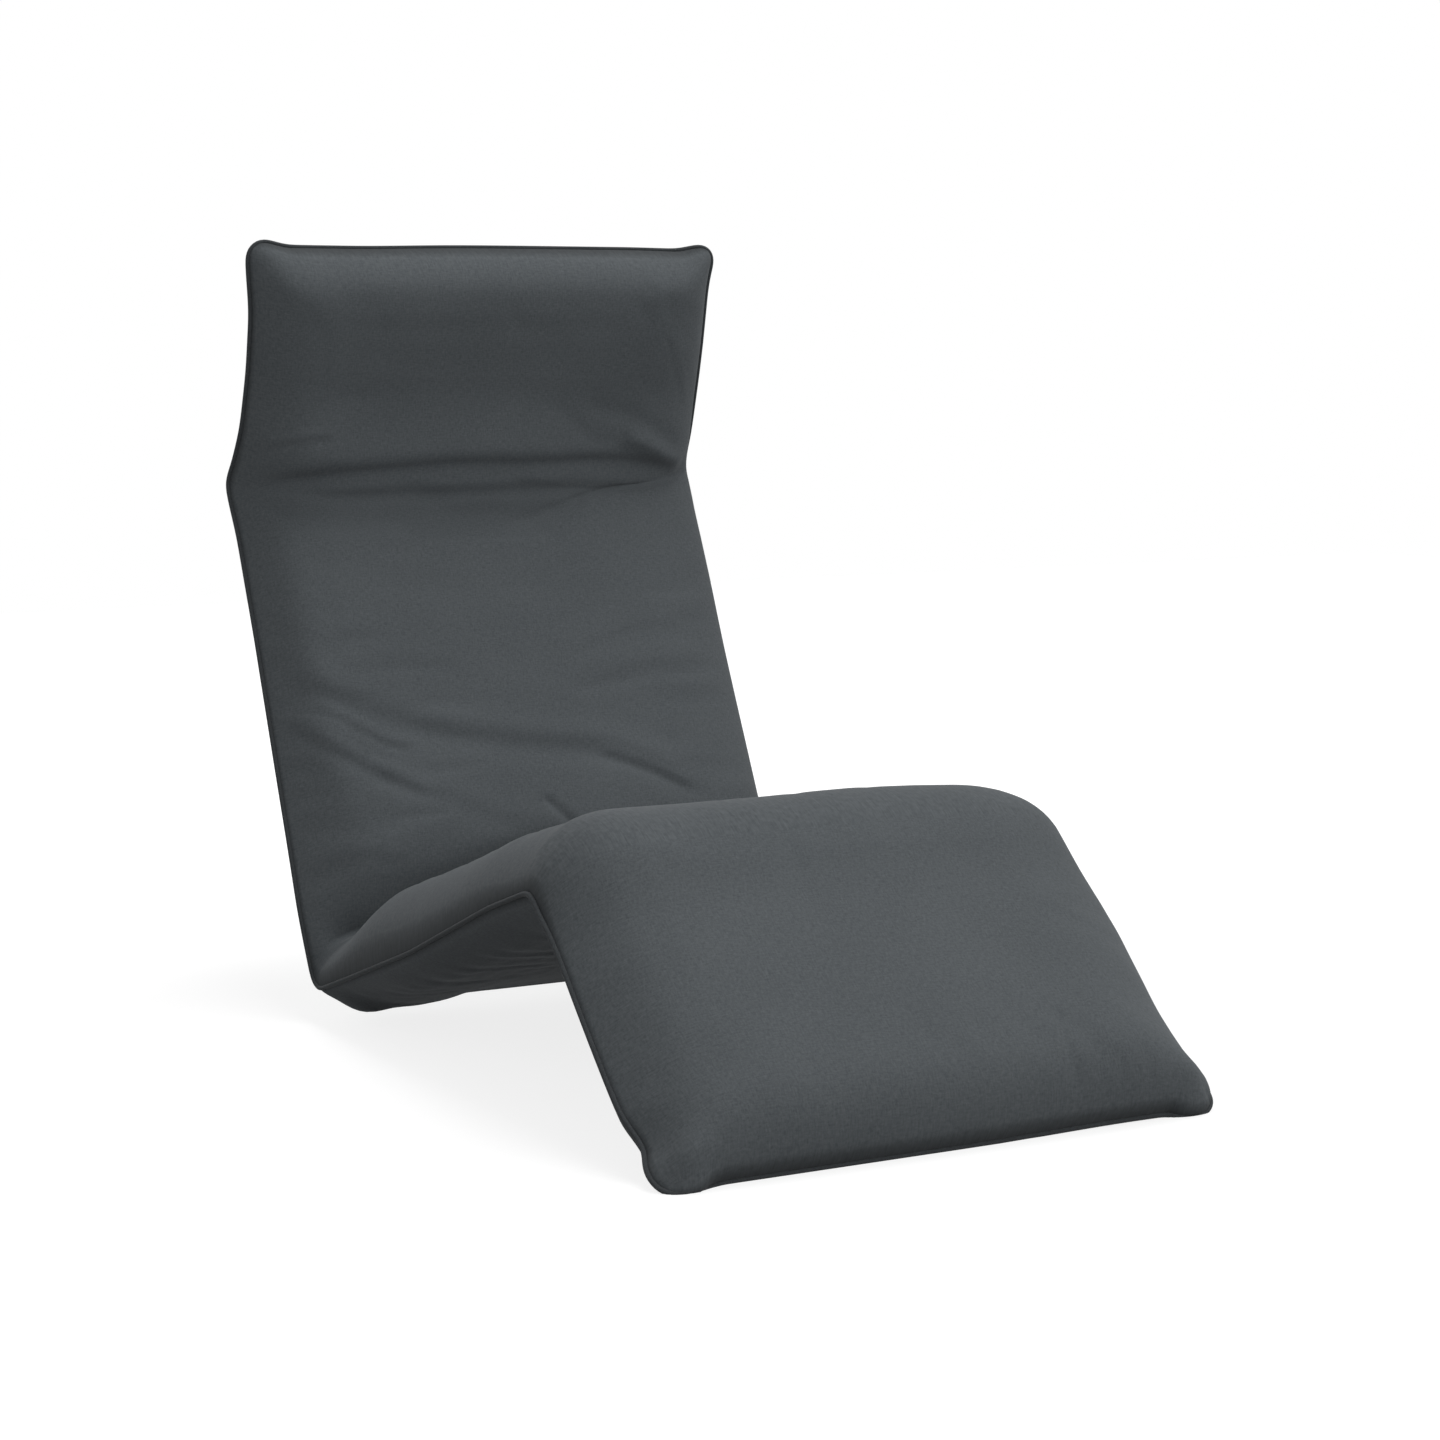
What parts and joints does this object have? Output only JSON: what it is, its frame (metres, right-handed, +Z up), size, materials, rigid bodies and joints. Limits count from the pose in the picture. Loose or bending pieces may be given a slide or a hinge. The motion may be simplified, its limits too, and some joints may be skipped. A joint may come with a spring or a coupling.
{
  "type": "folding floor chair",
  "caption": "Long padded floor lounger in four hinged sections: head, back, seat and leg rest, with ratchet joints inside a piped fabric cover.",
  "frame": {"origin": "on the floor, at the middle of the chair's length and width as it stands", "axes": "+Z up, the sitter faces -Y, +X to the sitter's left along the hinge axes"},
  "size_m": [0.569, 1.0598, 0.8087],
  "materials": {
    "cover_cloth": "matte",
    "piping_cloth": "matte",
    "sling_cloth": "matte",
    "foam": "matte",
    "black_tube": "satin",
    "zinc_steel": "satin",
    "spring_steel": "satin"
  },
  "bodies": {
    "seat": {"seat_frame": "black_tube", "seat_sling": "sling_cloth", "seat_foam": "foam", "seat_pad": "foam", "seat_cover": "cover_cloth", "seat_piping_left": "piping_cloth", "seat_piping_right": "piping_cloth", "hip_hinge_housing_left": "black_tube", "hip_hinge_housing_right": "black_tube", "hip_pivot_rivet_left": "zinc_steel", "hip_pivot_rivet_right": "zinc_steel", "hip_pawl_spring_left": "spring_steel", "hip_pawl_spring_right": "spring_steel", "knee_hinge_housing_left": "black_tube", "knee_hinge_housing_right": "black_tube", "knee_pivot_rivet_left": "zinc_steel", "knee_pivot_rivet_right": "zinc_steel", "knee_pawl_spring_left": "spring_steel", "knee_pawl_spring_right": "spring_steel", "hip_fold": "cover_cloth", "knee_fold": "cover_cloth"},
    "back": {"back_frame": "black_tube", "back_sling": "sling_cloth", "back_foam": "foam", "back_pad": "foam", "back_cover": "cover_cloth", "back_piping_left": "piping_cloth", "back_piping_right": "piping_cloth", "hip_ratchet_wheel_left": "zinc_steel", "hip_ratchet_wheel_right": "zinc_steel", "neck_hinge_housing_left": "black_tube", "neck_hinge_housing_right": "black_tube", "neck_pivot_rivet_left": "zinc_steel", "neck_pivot_rivet_right": "zinc_steel", "neck_pawl_spring_left": "spring_steel", "neck_pawl_spring_right": "spring_steel", "neck_fold": "cover_cloth"},
    "head": {"head_frame": "black_tube", "head_sling": "sling_cloth", "head_foam": "foam", "head_pad": "foam", "head_cover": "cover_cloth", "head_piping": "piping_cloth", "neck_ratchet_wheel_left": "zinc_steel", "neck_ratchet_wheel_right": "zinc_steel"},
    "leg": {"leg_frame": "black_tube", "leg_sling": "sling_cloth", "leg_foam": "foam", "leg_pad": "foam", "leg_cover": "cover_cloth", "leg_piping": "piping_cloth", "knee_ratchet_wheel_left": "zinc_steel", "knee_ratchet_wheel_right": "zinc_steel"},
    "hip_pawl_l": {"hip_pawl_left": "zinc_steel"},
    "hip_pawl_r": {"hip_pawl_right": "zinc_steel"},
    "neck_pawl_l": {"neck_pawl_left": "zinc_steel"},
    "neck_pawl_r": {"neck_pawl_right": "zinc_steel"},
    "knee_pawl_l": {"knee_pawl_left": "zinc_steel"},
    "knee_pawl_r": {"knee_pawl_right": "zinc_steel"}
  },
  "joints": [
    {"name": "hip", "type": "hinge", "parent": "seat", "child": "back", "pos_m": [0, 0.25257, 0.0345], "axis": [1, 0, 0], "range_deg": [-84, 54], "deforming": ["hip_fold"]},
    {"name": "neck", "type": "hinge", "parent": "back", "child": "head", "pos_m": [0, 0.49191, 0.55181], "axis": [1, 0, 0], "range_deg": [-42, 48], "deforming": ["neck_fold"]},
    {"name": "knee", "type": "hinge", "parent": "seat", "child": "leg", "pos_m": [0, -0.27747, 0.21523], "axis": [1, 0, 0], "range_deg": [-60, 90], "deforming": ["knee_fold"]},
    {"name": "hip_pawl_lift", "type": "hinge", "parent": "seat", "child": "hip_pawl_l", "pos_m": [-0.232, 0.23065, 0.02601], "axis": [-1, 0, 0], "range_deg": [0, 10], "stiffness_Nm_per_rad": 0.02, "deforming": ["hip_pawl_spring_left"]},
    {"name": "hip_pawl_lift_right", "type": "hinge", "parent": "seat", "child": "hip_pawl_r", "pos_m": [0.232, 0.23065, 0.02601], "axis": [-1, 0, 0], "range_deg": [0, 10], "stiffness_Nm_per_rad": 0.02, "deforming": ["hip_pawl_spring_right"]},
    {"name": "neck_pawl_lift", "type": "hinge", "parent": "back", "child": "neck_pawl_l", "pos_m": [-0.232, 0.49806, 0.52913], "axis": [-1, 0, 0], "range_deg": [0, 10], "stiffness_Nm_per_rad": 0.02, "deforming": ["neck_pawl_spring_left"]},
    {"name": "neck_pawl_lift_right", "type": "hinge", "parent": "back", "child": "neck_pawl_r", "pos_m": [0.232, 0.49806, 0.52913], "axis": [-1, 0, 0], "range_deg": [0, 10], "stiffness_Nm_per_rad": 0.02, "deforming": ["neck_pawl_spring_right"]},
    {"name": "knee_pawl_lift", "type": "hinge", "parent": "seat", "child": "knee_pawl_l", "pos_m": [-0.232, -0.25555, 0.22372], "axis": [-1, 0, 0], "range_deg": [0, 10], "stiffness_Nm_per_rad": 0.02, "deforming": ["knee_pawl_spring_left"]},
    {"name": "knee_pawl_lift_right", "type": "hinge", "parent": "seat", "child": "knee_pawl_r", "pos_m": [0.232, -0.25555, 0.22372], "axis": [-1, 0, 0], "range_deg": [0, 10], "stiffness_Nm_per_rad": 0.02, "deforming": ["knee_pawl_spring_right"]}
  ],
  "couplings": [
    {"joint": "hip_pawl_lift_right", "follows": "hip_pawl_lift", "ratio": 1},
    {"joint": "neck_pawl_lift_right", "follows": "neck_pawl_lift", "ratio": 1},
    {"joint": "knee_pawl_lift_right", "follows": "knee_pawl_lift", "ratio": 1}
  ]
}
